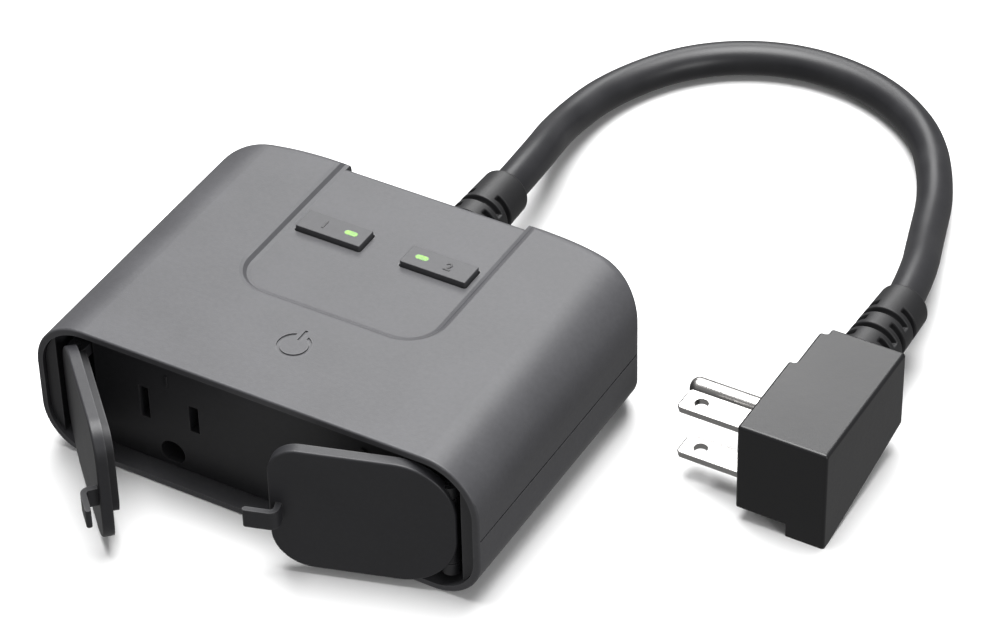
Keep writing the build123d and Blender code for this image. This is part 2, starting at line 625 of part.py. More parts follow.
SWITCH_HEIGHT = 3.4
PLUNGER_TOP = BUTTON_FLANGE_Z - 1.6 - 0.7
with BuildPart() as tact_switches:
    for button_x in mirrored(BUTTON_X):
        box(button_x, BUTTON_Y, CONTROL_TOP, (6, 6, SWITCH_HEIGHT))
        post(button_x, BUTTON_Y, CONTROL_TOP + SWITCH_HEIGHT, PLUNGER_TOP, 1.7)
save(tact_switches.part, "tact_switches")

with BuildPart() as status_lights:
    for window_x in mirrored(WINDOW_X):
        box(window_x, BUTTON_Y, CONTROL_TOP, (2.0, 1.2, 1.0))
save(status_lights.part, "status_lights")

# ---- push buttons ----------------------------------------------------------------------------------
BUTTON_TOP = PANEL_Z + BUTTON_PROUD
for number, side in ((1, -1), (2, 1)):
    with BuildPart() as button:
        with BuildSketch(Plane.XY.offset(BUTTON_FLANGE_Z)):
            with Locations((side * BUTTON_X, BUTTON_Y)):
                RectangleRounded(*BUTTON_SIZE, BUTTON_CORNER)
        extrude(amount=BUTTON_TOP - BUTTON_FLANGE_Z)
        fillet(button.faces().sort_by(Axis.Z)[-1].edges(), BUTTON_EDGE)
        box(side * BUTTON_X, BUTTON_Y, BUTTON_FLANGE_Z,
            (BUTTON_SIZE[0] + 2 * BUTTON_LIP, BUTTON_SIZE[1] + 2 * BUTTON_LIP, BUTTON_FLANGE))
        box(side * BUTTON_X, BUTTON_Y, BUTTON_FLANGE_Z - 1.6, (STEM_SIZE, STEM_SIZE, 1.6))
        with BuildSketch(Plane.XY.offset(BUTTON_FLANGE_Z - 2)):
            with Locations((side * WINDOW_X, BUTTON_Y)):
                SlotOverall(*WINDOW_SIZE)
        extrude(amount=BUTTON_TOP - BUTTON_FLANGE_Z + 4, mode=Mode.SUBTRACT)
    save(button.part, f"button_{number}")

    with BuildPart() as window:
        with BuildSketch(Plane.XY.offset(BUTTON_FLANGE_Z - 1.2)):
            with Locations((side * WINDOW_X, BUTTON_Y)):
                SlotOverall(*WINDOW_SIZE)
        extrude(amount=BUTTON_TOP + 0.05 - BUTTON_FLANGE_Z + 1.2)
    save(window.part, f"light_window_{number}")

    with BuildPart() as button_seal:
        with BuildSketch(Plane.XY.offset(BUTTON_FLANGE_Z + BUTTON_FLANGE + 0.1)):
            with Locations((side * BUTTON_X, BUTTON_Y)):
                RectangleRounded(BUTTON_SIZE[0] + 3.6, BUTTON_SIZE[1] + 3.6, 1.8)
                RectangleRounded(BUTTON_SIZE[0] + 0.8, BUTTON_SIZE[1] + 0.8, 1.2, mode=Mode.SUBTRACT)
        extrude(amount=HEIGHT - WALL - BUTTON_FLANGE_Z - BUTTON_FLANGE - 0.1)
    save(button_seal.part, f"button_seal_{number}")


# ---- cord entry ------------------------------------------------------------------------------------
def flex_boot(axis_x, axis_z, start, length, radii, first_groove, grooves):
    """Tapered boot along +Y with grooves that stop short of two bridges, turned row by row."""
    with BuildPart() as boot:
        with BuildSketch(along_y(start)):
            with Locations((axis_x, axis_z)):
                Circle(radii[0])
        with BuildSketch(along_y(start + length)):
            with Locations((axis_x, axis_z)):
                Circle(radii[1])
        loft()
        fillet(boot.faces().sort_by(Axis.Y)[-1].edges(), BOOT_TIP_ROUND)
        for row in range(grooves):
            y = start + first_groove + row * GROOVE_PITCH
            radius = radii[0] + (radii[1] - radii[0]) * (y - start) / length - GROOVE_DEPTH
            with BuildSketch(along_y(y)):
                with Locations((axis_x, axis_z)):
                    Circle(radii[0] + 1)
                    Circle(radius, mode=Mode.SUBTRACT)
                    Rectangle(3 * radii[0], GROOVE_BRIDGE, rotation=90 * (row % 2), mode=Mode.SUBTRACT)
            extrude(amount=-GROOVE_WIDTH, mode=Mode.SUBTRACT)
        with Locations(Location((axis_x, start + length, axis_z), (90, 0, 0))):
            Cylinder(CORD_DIAMETER / 2, 2 * BOOT_SOCKET, mode=Mode.SUBTRACT)
    return boot.part


CORD_TAIL_Y = 22.0
with BuildPart() as housing_boot:
    add(flex_boot(0, CORD_Z, BACK_Y, BOOT_LENGTH, BOOT_RADIUS, *BOOT_GROOVES))
    with Locations(Location((0, BACK_Y - WALL / 2 - 0.1, CORD_Z), (90, 0, 0))):
        Cylinder(BOOT_NECK - 0.05, WALL + 0.2)
    with Locations(Location((0, BACK_Y - WALL - 1.1, CORD_Z), (90, 0, 0))):
        Cylinder(BOOT_NECK + 1.8, 1.8)
    with Locations(Location((0, BACK_Y, CORD_Z), (90, 0, 0))):
        Cylinder(CORD_DIAMETER / 2, 2 * (BOOT_LENGTH - BOOT_SOCKET), mode=Mode.SUBTRACT)
save(housing_boot.part, "housing_boot")

with BuildPart() as cord_tail:
    with BuildSketch(along_y(CORD_TAIL_Y)):
        with Locations((0, CORD_Z)):
            Circle(CORD_DIAMETER / 2)
    extrude(amount=-(CORD_ROUTE[0][1] - CORD_TAIL_Y))
save(cord_tail.part, "cord_tail")

with BuildPart() as clamp:
    box(0, CLAMP_Y, CORD_Z + 0.3, (CLAMP[0], CLAMP[1], CLAMP_TOP - CORD_Z - 0.3))
    with Locations(Location((0, CLAMP_Y, CORD_Z), (90, 0, 0))):
        Cylinder(CORD_DIAMETER / 2, 2 * CLAMP[1], mode=Mode.SUBTRACT)
    for screw_x in mirrored(CLAMP_SCREW_X):
        post(screw_x, CLAMP_Y, CORD_Z, CLAMP_TOP + 1, 1.3, Mode.SUBTRACT)
        post(screw_x, CLAMP_Y, CLAMP_TOP - 1.5, CLAMP_TOP + 1, 2.4, Mode.SUBTRACT)
    fillet(clamp.edges().filter_by(Axis.Y).group_by(Axis.Z)[-1], 1.5)
save(clamp.part, "cord_clamp")

LEAD_RADIUS = 1.2
LEAD_PLACES = {"line_lead": (2.0, CORD_Z - 1.2), "neutral_lead": (-2.0, CORD_Z - 1.2),
               "ground_lead": (0.0, CORD_Z + 2.2)}
for name, (lead_x, lead_z) in LEAD_PLACES.items():
    drop_y = CORD_TAIL_Y - 5 - (lead_z - CORD_Z + 1.2)
    with BuildPart() as lead:
        with BuildLine() as lead_path:
            FilletPolyline((lead_x, CORD_TAIL_Y, lead_z), (lead_x, drop_y, lead_z),
                           (lead_x, drop_y, POWER_TOP), radius=3)
        with BuildSketch(along_y(CORD_TAIL_Y)):
            with Locations((lead_x, lead_z)):
                Circle(LEAD_RADIUS)
        sweep(path=lead_path.line)
    save(lead.part, name)

# ---- free cord -------------------------------------------------------------------------------------
route = [Vector(*point) for point in CORD_ROUTE]
runs = [b - a for a, b in zip(route, route[1:])]
radii = [0.45 * min(a.length, b.length) / tan(radians(a.get_angle(b) / 2))
         for a, b in zip(runs, runs[1:])]
print("cord bend radii:", [round(radius, 1) for radius in radii])
with BuildPart() as cord:
    with BuildLine() as cord_path:
        FilletPolyline(*CORD_ROUTE, radius=radii)
    with BuildSketch(Plane(origin=route[0], z_dir=runs[0])):
        Circle(CORD_DIAMETER / 2)
    sweep(path=cord_path.line)
cord_length = sum(edge.length for edge in cord_path.edges())
cord_section = pi * CORD_DIAMETER ** 2 / 4
print("cord length:", round(cord_length, 1),
      "volume over section times length:", round(cord.part.volume / cord_section / cord_length, 4))
save(cord.part, "cord")

# ---- plug ------------------------------------------------------------------------------------------
AXIS_Y, AXIS_Z = PLUG_AXIS
PLUG_OUTER_X = PLUG_FACE_X + PLUG_WIDTH
NECK_Y = 37.0
NECK_STEP = 1.6
NECK_END_Y = 48.8
NECK_END_STEP = 3.4
UNDERSIDE_RISE = 7.0
BLADE_Z = [AXIS_Z + side * BLADE_PITCH / 2 for side in (-1, 1)]
CORE = (6.0, 22.0, 16.0)
CORE_PLACE = (PLUG_FACE_X + BLADE_ROOT + CORE[0] / 2, AXIS_Y + 5, AXIS_Z - 7.4)

with BuildPart() as plug_body:
    with BuildSketch(Plane.XY):
        with BuildLine():
            Polyline((PLUG_FACE_X, PLUG_FRONT_Y), (PLUG_OUTER_X, PLUG_FRONT_Y),
                     (PLUG_OUTER_X, PLUG_BACK_Y), (PLUG_FACE_X + NECK_END_STEP, PLUG_BACK_Y),
                     (PLUG_FACE_X + NECK_END_STEP, NECK_END_Y), (PLUG_FACE_X + NECK_STEP, NECK_END_Y),
                     (PLUG_FACE_X + NECK_STEP, NECK_Y), (PLUG_FACE_X, NECK_Y), close=True)
        make_face()
    extrude(amount=PLUG_TOP)
    fillet(plug_body.edges().filter_by(Axis.Z), 0.7)
    box(PLUG_FACE_X + PLUG_FOOT_X / 2 - 5, (PLUG_FRONT_Y + PLUG_BACK_Y) / 2, -1,
        (PLUG_FOOT_X + 10, PLUG_BACK_Y - PLUG_FRONT_Y + 10, PLUG_FOOT + 1), Mode.SUBTRACT)
    fillet(plug_body.faces().sort_by(Axis.Z)[-1].edges(), 0.8)
    with BuildSketch(Plane.YZ.offset(PLUG_FACE_X - 1)):
        with BuildLine():
            Polyline((PLUG_FRONT_Y + 2, 0), (PLUG_BACK_Y + 1, UNDERSIDE_RISE), (PLUG_BACK_Y + 1, -1),
                     (PLUG_FRONT_Y + 2, -1), close=True)
        make_face()
    extrude(amount=PLUG_WIDTH + 2, mode=Mode.SUBTRACT)
    for blade_z in BLADE_Z:
        box(PLUG_FACE_X + BLADE_ROOT / 2, AXIS_Y, blade_z - BLADE[2] / 2,
            (BLADE_ROOT, BLADE[1], BLADE[2]), Mode.SUBTRACT)
    with Locations(Location((PLUG_FACE_X + BLADE_ROOT / 2, AXIS_Y + GROUND_DROP, AXIS_Z), (0, 90, 0))):
        Cylinder(GROUND_PIN / 2, BLADE_ROOT, mode=Mode.SUBTRACT)
    box(*CORE_PLACE, CORE, Mode.SUBTRACT)
save(plug_body.part, "plug_body")

with BuildPart() as plug_core:
    box(*CORE_PLACE, CORE)
save(plug_core.part, "plug_core")

for name, blade_z in (("neutral_blade", BLADE_Z[0]), ("line_blade", BLADE_Z[1])):
    with BuildPart() as blade:
        length = BLADE[0] + BLADE_ROOT
        box(PLUG_FACE_X - BLADE[0] + length / 2, AXIS_Y, blade_z - BLADE[2] / 2,
            (length, BLADE[1], BLADE[2]))
        tip = blade.faces().sort_by(Axis.X)[0]
        chamfer(tip.edges().filter_by(Axis.Z), 1.0)
        tip = blade.faces().sort_by(Axis.X)[0]
        chamfer(tip.edges().filter_by(Axis.Y), 0.5)
        post(PLUG_FACE_X - BLADE[0] + 4.6, AXIS_Y, blade_z - 2, blade_z + 2, BLADE_HOLE / 2,
             Mode.SUBTRACT)
    save(blade.part, name)

PIN_LENGTH = BLADE[0] + PIN_LEAD + BLADE_ROOT
with BuildPart() as ground_pin:
    with Locations(Location((PLUG_FACE_X + BLADE_ROOT - PIN_LENGTH / 2, AXIS_Y + GROUND_DROP, AXIS_Z),
                            (0, 90, 0))):
        Cylinder(GROUND_PIN / 2, PIN_LENGTH)
    fillet(ground_pin.faces().sort_by(Axis.X)[0].edges(), 2.0)
save(ground_pin.part, "ground_pin")

save(flex_boot(PLUG_BOOT_X, AXIS_Z, PLUG_BACK_Y, PLUG_BOOT_LENGTH, BOOT_RADIUS, *PLUG_BOOT_GROOVES),
     "plug_boot")
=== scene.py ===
"""Smart plug with two covered outlets: finishes, soft goods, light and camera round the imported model.

The file is read from the top down: the frame, small tools for surfaces and for shaders, the finishes,
the sub-assemblies that build or dress pieces, the studio, and the main function that puts them together.
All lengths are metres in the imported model's own frame: +Z up, +Y from the outlets towards the cord.
"""

import json
import logging
from dataclasses import dataclass, field
from enum import Enum
from math import cos, radians, sin

import bpy
import numpy as np
from mathutils import Matrix, Vector


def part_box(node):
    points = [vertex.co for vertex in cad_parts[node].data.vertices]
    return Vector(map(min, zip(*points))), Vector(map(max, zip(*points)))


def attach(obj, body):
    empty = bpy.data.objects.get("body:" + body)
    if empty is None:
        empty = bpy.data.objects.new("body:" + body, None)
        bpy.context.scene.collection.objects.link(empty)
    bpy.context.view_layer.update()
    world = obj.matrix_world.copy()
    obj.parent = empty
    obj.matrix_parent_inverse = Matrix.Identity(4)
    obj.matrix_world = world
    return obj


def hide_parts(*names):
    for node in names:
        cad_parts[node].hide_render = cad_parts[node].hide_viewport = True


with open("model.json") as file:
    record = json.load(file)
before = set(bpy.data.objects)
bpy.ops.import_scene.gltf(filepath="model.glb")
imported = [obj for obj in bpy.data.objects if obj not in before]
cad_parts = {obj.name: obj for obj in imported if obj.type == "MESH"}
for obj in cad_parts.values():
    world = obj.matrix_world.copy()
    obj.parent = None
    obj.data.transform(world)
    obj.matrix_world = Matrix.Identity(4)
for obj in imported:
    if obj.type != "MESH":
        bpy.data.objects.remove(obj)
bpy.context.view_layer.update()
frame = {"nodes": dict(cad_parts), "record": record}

LOG = logging.getLogger("smart_plug")
MM = 0.001
Colour = tuple[float, float, float]
Point = tuple[float, float, float]


# ---- surfaces ------------------------------------------------------------------------------------
def mesh_piece(name: str, points: np.ndarray, faces: np.ndarray, smooth: bool = True) -> bpy.types.Object:
    """Makes an object at the origin whose mesh holds the points and faces.

    Args:
        name: the piece's name.
        points: an array of places, one row each.
        faces: an array of vertex numbers, four to a row, counter-clockwise seen from outside.
        smooth: whether the faces are shaded as one smooth surface.

    Returns:
        The new object, linked into the scene.
    """
    mesh = bpy.data.meshes.new(name)
    mesh.vertices.add(len(points))
    mesh.vertices.foreach_set("co", np.ascontiguousarray(points, dtype=np.float32).ravel())
    mesh.loops.add(faces.size)
    mesh.loops.foreach_set("vertex_index", np.ascontiguousarray(faces, dtype=np.int32).ravel())
    mesh.polygons.add(len(faces))
    mesh.polygons.foreach_set("loop_start", np.arange(0, faces.size, faces.shape[1], dtype=np.int32))
    mesh.update(calc_edges=True)
    mesh.validate()
    mesh.polygons.foreach_set("use_smooth", np.full(len(mesh.polygons), smooth))
    piece = bpy.data.objects.new(name, mesh)
    bpy.context.scene.collection.objects.link(piece)
    return piece


def wrapped_faces(rows: int, columns: int) -> np.ndarray:
    """Quads of a grid that closes on itself round its columns and is open at its first and last row.

    Args:
        rows: points along the grid.
        columns: points round the grid.

    Returns:
        An array of four vertex numbers per face.
    """
    row, column = np.meshgrid(np.arange(rows - 1), np.arange(columns), indexing="ij")
    across = (column + 1) % columns
    corners = (row * columns + column, row * columns + across,
               (row + 1) * columns + across, (row + 1) * columns + column)
    return np.stack(corners, axis=-1).reshape(-1, 4)


def smooth_step(value: np.ndarray, low: float, high: float) -> np.ndarray:
    """Rises from 0 at low to 1 at high as 3t squared less 2t cubed, where t is the way between them.

    Args:
        value: where the step is read.
        low: where the step starts.
        high: where the step ends.

    Returns:
        The step's height, the same shape as value.
    """
    way = np.clip((value - low) / (high - low), 0.0, 1.0)
    return way * way * (3.0 - 2.0 * way)


# ---- shader tools --------------------------------------------------------------------------------
class Shade:
    """A socket of a shader tree on which sums, differences and products add Math nodes."""

    def __init__(self, tree: "Tree", socket: bpy.types.NodeSocket) -> None:
        """Holds the tree and the socket that gives this value."""
        self.tree = tree
        self.socket = socket

    def _math(self, operation: str, first: "Shade | float", second: "Shade | float") -> "Shade":
        """Adds one Math node and gives its result."""
        return self.tree.node("ShaderNodeMath", {"operation": operation}, {0: first, 1: second})

    def __add__(self, other: "Shade | float") -> "Shade":
        """This value plus other."""
        return self._math("ADD", self, other)

    __radd__ = __add__

    def __sub__(self, other: "Shade | float") -> "Shade":
        """This value less other."""
        return self._math("SUBTRACT", self, other)

    def __rsub__(self, other: float) -> "Shade":
        """A number less this value."""
        return self._math("SUBTRACT", other, self)

    def __mul__(self, other: "Shade | float") -> "Shade":
        """This value times other."""
        return self._math("MULTIPLY", self, other)

    __rmul__ = __mul__

    def clip(self) -> "Shade":
        """This value kept between 0 and 1."""
        return self.tree.node("ShaderNodeClamp", {}, {"Value": self})

    def band(self, low: float, high: float) -> "Shade":
        """0 at low and 1 at high, straight between them and level outside.

        Args:
            low: the value that becomes 0.
            high: the value that becomes 1.

        Returns:
            The mapped value.
        """
        return self.tree.node("ShaderNodeMapRange", {"clamp": True},
                              {"Value": self, "From Min": low, "From Max": high})


class Tree:
    """The node tree of one material, with its surface shader."""

    def __init__(self, name: str) -> None:
        """Makes an empty material with a Principled shader on its output."""
        self.material = bpy.data.materials.new(name)
        self.material.use_nodes = True
        self.nodes = self.material.node_tree.nodes
        self.links = self.material.node_tree.links
        self.surface = next(n for n in self.nodes if n.type == "BSDF_PRINCIPLED")

    def node(self, kind: str, settings: dict, values: dict, output: int | str = 0) -> Shade:
        """Adds a node, sets it up and joins its inputs.

        Args:
            kind: the node's type name.
            settings: properties of the node, set before its sockets are filled.
            values: numbers, colours or Shades for its inputs, by socket name or number.
            output: which of its outputs is wanted.

        Returns:
            The wanted output.
        """
        made = self.nodes.new(kind)
        for key, value in settings.items():
            setattr(made, key, value)
        for key, value in values.items():
            self._fill(made.inputs[key], value)
        return Shade(self, made.outputs[output])

    def _fill(self, socket: bpy.types.NodeSocket, value: "Shade | float | Colour") -> None:
        """Joins a Shade to a socket, or sets a plain number or colour on it."""
        if isinstance(value, Shade):
            self.links.new(value.socket, socket)
        elif socket.type == "RGBA":
            socket.default_value = (*value, 1.0)
        else:
            socket.default_value = value

    def set(self, **values: "Shade | float | Colour") -> None:
        """Fills sockets of the surface shader, named with underscores for spaces."""
        for key, value in values.items():
            self._fill(self.surface.inputs[key.replace("_", " ")], value)

    def place(self) -> Shade:
        """The point on the piece, in metres."""
        return self.node("ShaderNodeTexCoord", {}, {}, "Object")

    def stretched(self, place: Shade, factors: Point) -> Shade:
        """The point with each of its parts times a factor."""
        return self.node("ShaderNodeMapping", {}, {"Vector": place, "Scale": factors})

    def noise(self, place: Shade, size: float, detail: float = 2.0) -> Shade:
        """Soft noise from about 0 to 1 whose patches are about size metres across."""
        return self.node("ShaderNodeTexNoise", {}, {"Vector": place, "Scale": 1.0 / size, "Detail": detail})

    def mix(self, amount: "Shade | float", low: "Shade | Colour", high: "Shade | Colour") -> Shade:
        """Blends two colours.

        Args:
            amount: 0 for the first colour, 1 for the second.
            low: the first colour.
            high: the second colour.

        Returns:
            The blended colour.
        """
        made = self.nodes.new("ShaderNodeMix")
        made.data_type = "RGBA"
        self._fill(made.inputs["Factor"], amount)
        colours_in = [socket for socket in made.inputs if socket.type == "RGBA"]
        self._fill(colours_in[0], low)
        self._fill(colours_in[1], high)
        return Shade(self, next(socket for socket in made.outputs if socket.type == "RGBA"))

    def edges(self, radius: float) -> Shade:
        """1 near outer and inner edges and 0 on open faces, from the turn of a normal rounded by radius."""
        rounded = self.node("ShaderNodeBevel", {"samples": 6}, {"Radius": radius})
        flat = self.node("ShaderNodeNewGeometry", {}, {}, "Normal")
        facing = self.node("ShaderNodeVectorMath", {"operation": "DOT_PRODUCT"}, {0: rounded, 1: flat},
                           "Value")
        return (1.0 - facing).band(0.005, 0.22)

    def bump(self, height: Shade, depth: float, under: Shade | None = None) -> Shade:
        """A normal raised by height times depth metres, on top of another normal if one is given."""
        values = {"Height": height, "Distance": depth, "Strength": 1.0}
        if under is not None:
            values["Normal"] = under
        return self.node("ShaderNodeBump", {}, values)


# ---- finishes ------------------------------------------------------------------------------------
class Gloss(Enum):
    """How shiny a moulding is, as the middle of its roughness."""

    DULL = 0.62
    SATIN = 0.46
    SHEEN = 0.34


@dataclass(frozen=True)
class Moulding:
    """Moulded plastic or rubber: spark-eroded grain, cloudy sheen, and edges rubbed smooth and pale."""

    name: str
    colour: Colour
    gloss: Gloss
    grain: float = 0.00035
    grain_depth: float = 0.000012
    wave_depth: float = 0.00002
    worn: float = 0.25
    edge: float = 0.0007
    specular: float = 0.5
    coat: float = 0.0

    def make(self) -> bpy.types.Material:
        """Builds the material: noise at two scales for grain and cloud, and a rounded-edge mask for wear.

        Returns:
            The finished material.
        """
        tree = Tree(self.name)
        place = tree.place()
        grain = tree.noise(place, self.grain, 3.0)
        speck = tree.noise(place, self.grain * 3.1, 1.0)
        cloud = tree.noise(place, 0.02, 3.0)
        patch = tree.noise(place, 0.0022, 4.0)
        rubbed = (tree.edges(self.edge) * patch.band(0.25, 0.7)).clip()
        dark = tuple(part * 0.88 for part in self.colour)
        light = tuple(min(1.0, part * 1.1) for part in self.colour)
        pale = tuple(part + (0.55 - part) * self.worn * 0.35 for part in self.colour)
        base = tree.mix((cloud * 0.7 + speck * 0.3).band(0.35, 0.65), dark, light)
        tree.set(Base_Color=tree.mix(rubbed, base, pale),
                 Roughness=(cloud * 0.1 + grain * 0.1 + (self.gloss.value - 0.1) - rubbed * 0.1).clip(),
                 Specular_IOR_Level=self.specular, Coat_Weight=self.coat)
        tree.set(Normal=tree.bump(grain, self.grain_depth, tree.bump(patch, self.wave_depth)))
        return tree.material


@dataclass(frozen=True)
class Metal:
    """Plated or bare metal: lines left by drawing or turning, dull patches, and bright edges."""

    name: str
    colour: Colour
    roughness: float
    lines: Point = (0.04, 1.0, 1.0)
    line_size: float = 0.00012
    tarnish: float = 0.25

    def make(self) -> bpy.types.Material:
        """Builds the material: noise stretched along the lines, and cloudy patches of tarnish.

        Returns:
            The finished material.
        """
        tree = Tree(self.name)
        place = tree.place()
        lines = tree.noise(tree.stretched(place, self.lines), self.line_size, 2.0)
        patch = tree.noise(place, 0.004, 4.0)
        tarnished = patch.band(0.45, 0.8) * self.tarnish
        dull = tuple(part * 0.7 for part in self.colour)
        tree.set(Base_Color=tree.mix(tarnished, self.colour, dull), Metallic=1.0,
                 Roughness=(lines * 0.12 + tarnished * 0.3 + (self.roughness - 0.06)
                            - tree.edges(0.0004) * 0.05).clip())
        tree.set(Normal=tree.bump(lines, 0.000006))
        return tree.material


@dataclass(frozen=True)
class Laminate:
    """Circuit board: solder mask over a weave, with copper tracks in rows that show through."""

    name: str = "green_laminate"
    mask: Colour = (0.015, 0.11, 0.045)
    copper: Colour = (0.04, 0.2, 0.08)

    def make(self) -> bpy.types.Material:
        """Builds the material: rows of tracks from a brick pattern, over a fine noise weave.

        Returns:
            The finished material.
        """
        tree = Tree(self.name)
        place = tree.place()
        tracks = tree.node("ShaderNodeTexBrick", {"offset": 0.4},
                           {"Vector": place, "Scale": 220.0, "Mortar Size": 0.06}, "Fac")
        weave = tree.noise(place, 0.0003, 1.0)
        tree.set(Base_Color=tree.mix(tracks, self.mask, self.copper),
                 Roughness=(weave * 0.1 + tracks * 0.08 + 0.22).clip())
        tree.set(Normal=tree.bump(tracks + weave * 0.2, 0.00003))
        return tree.material


@dataclass(frozen=True)
class LightGuide:
    """Clear green window, lit from below: brightest in the middle and mottled inside."""

    name: str = "green_light_guide"
    colour: Colour = (0.14, 0.3, 0.008)
    edge_colour: Colour = (0.04, 0.15, 0.006)
    glow: float = 0.7

    def make(self) -> bpy.types.Material:
        """Builds the material: a glow mottled by noise under a clear, slightly rippled top.

        Returns:
            The finished material.
        """
        tree = Tree(self.name)
        place = tree.place()
        mottle = tree.noise(place, 0.0008, 2.0)
        inner = (mottle.band(0.2, 0.8) - tree.edges(0.0005) * 0.6).clip()
        lit = tree.mix(inner, self.edge_colour, self.colour)
        tree.set(Base_Color=lit, Emission_Color=lit, Emission_Strength=self.glow,
                 Roughness=(mottle * 0.1 + 0.12).clip())
        tree.set(Normal=tree.bump(mottle, 0.00002))
        return tree.material


@dataclass(frozen=True)
class Jacket:
    """Extruded cord jacket: long faint draw lines, a soft sheen and a little dust in the dull patches."""

    name: str = "cord_jacket"
    colour: Colour = (0.012, 0.012, 0.014)
    dust: Colour = (0.04, 0.04, 0.043)

    def make(self) -> bpy.types.Material:
        """Builds the material: fine noise for the skin and broad noise for where it has been handled.

        Returns:
            The finished material.
        """
        tree = Tree(self.name)
        place = tree.place()
        skin = tree.noise(place, 0.00045, 3.0)
        handled = tree.noise(place, 0.012, 3.0)
        tree.set(Base_Color=tree.mix(handled.band(0.4, 0.8) * 0.3, self.colour, self.dust),
                 Roughness=(skin * 0.08 + handled * 0.14 + 0.29).clip(), Specular_IOR_Level=0.5)
        tree.set(Normal=tree.bump(skin, 0.00001, tree.bump(handled, 0.0001)))
        return tree.material


HOUSING = Moulding("housing_moulding", (0.062, 0.062, 0.067), Gloss.SATIN, grain_depth=0.00002)
FACE = Moulding("face_moulding", (0.03, 0.03, 0.033), Gloss.SATIN)
COVER = Moulding("cover_moulding", (0.022, 0.022, 0.025), Gloss.SATIN, grain_depth=0.000008)
BUTTON = Moulding("button_moulding", (0.05, 0.05, 0.054), Gloss.SATIN, edge=0.0004)
MARK = Moulding("raised_mark", (0.02, 0.02, 0.022), Gloss.SATIN, grain=0.0002)
SILICONE = Moulding("silicone", (0.018, 0.018, 0.02), Gloss.DULL, grain=0.0006)
BOOT = Moulding("boot_moulding", (0.01, 0.01, 0.011), Gloss.SATIN, grain=0.0005, edge=0.0004)
PLUG = Moulding("plug_moulding", (0.007, 0.007, 0.008), Gloss.SHEEN, grain_depth=0.000008, worn=0.08)
NYLON = Moulding("natural_nylon", (0.62, 0.6, 0.54), Gloss.DULL)
BLACK_CASE = Moulding("component_case", (0.02, 0.02, 0.022), Gloss.DULL, grain=0.0005)
SLEEVE = Moulding("shrink_sleeve", (0.05, 0.09, 0.26), Gloss.SHEEN, coat=0.3)
NICKEL = Metal("nickel_plate", (0.5, 0.49, 0.48), 0.26)
BRASS = Metal("spring_brass", (0.73, 0.55, 0.27), 0.3, tarnish=0.5)
ZINC = Metal("zinc_plate", (0.6, 0.6, 0.62), 0.34, lines=(1.0, 1.0, 0.1))
TIN_CAN = Metal("tinned_can", (0.66, 0.66, 0.66), 0.36)
LEAD_COLOURS: dict[str, Colour] = {
    "line_lead": (0.02, 0.02, 0.02),
    "neutral_lead": (0.7, 0.7, 0.68),
    "ground_lead": (0.03, 0.26, 0.07),
    "board_link": (0.35, 0.36, 0.38),
}


# ---- sub-assemblies --------------------------------------------------------------------------------
class SubAssembly:
    """A group of pieces that are built and dressed together."""

    def dress(self, finishes: dict[str, list[str]], made: dict[str, bpy.types.Material]) -> None:
        """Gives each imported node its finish.

        Args:
            finishes: node names for each finish name.
            made: the finished materials by name.
        """
        for finish, names in finishes.items():
            for name in names:
                node = frame["nodes"][name]
                node.data.materials.clear()
                node.data.materials.append(made[finish])
                LOG.info("%s: finish %s", name, finish)

    def seat(self, piece: bpy.types.Object, body: str, slot: str, material: bpy.types.Material) -> None:
        """Gives a new piece its material and its body.

        Args:
            piece: the piece, in place.
            body: the body that it moves with.
            slot: not used.
            material: its finish.
        """
        piece.data.materials.clear()
        piece.data.materials.append(material)
        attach(piece, body)
        LOG.info("%s: rides on %s", piece.name, body)


@dataclass
class Numeral(SubAssembly):
    """A raised digit, drawn with the built-in letter shapes and thickened."""

    digit: str
    height: float
    raise_by: float = 0.25 * MM
    bevel_part: float = 0.3
    size_per_height: float = 1.4

    def build(self, name: str, centre: Vector, across: Vector, upright: Vector) -> bpy.types.Object:
        """Makes the digit as a mesh: each place is centre plus x times across plus y times upright.

        Args:
            name: the piece's name.
            centre: the middle of the digit, on the surface that it stands on.
            across: the direction in which it is read.
            upright: the direction of its top.

        Returns:
            The piece.
        """
        curve = bpy.data.curves.new(f"{name}_drawing", type="FONT")
        curve.body = self.digit
        curve.align_x = "CENTER"
        curve.align_y = "CENTER"
        curve.size = self.height * self.size_per_height
        curve.extrude = self.raise_by
        curve.bevel_depth = self.raise_by * self.bevel_part
        curve.resolution_u = 6
        drawing = bpy.data.objects.new(f"{name}_drawing", curve)
        bpy.context.scene.collection.objects.link(drawing)
        bpy.context.view_layer.update()
        mesh = bpy.data.meshes.new_from_object(drawing.evaluated_get(bpy.context.evaluated_depsgraph_get()))
        bpy.data.objects.remove(drawing)
        mesh.name = name
        flat = np.empty(len(mesh.vertices) * 3, dtype=np.float32)
        mesh.vertices.foreach_get("co", flat)
        flat = flat.reshape(-1, 3)
        flat[:, :2] -= (flat[:, :2].min(axis=0) + flat[:, :2].max(axis=0)) / 2
        axes = np.array([across, upright, across.cross(upright)], dtype=np.float32)
        placed = np.asarray(centre, dtype=np.float32) + flat @ axes
        mesh.vertices.foreach_set("co", placed.astype(np.float32).ravel())
        mesh.update()
        piece = bpy.data.objects.new(name, mesh)
        bpy.context.scene.collection.objects.link(piece)
        return piece


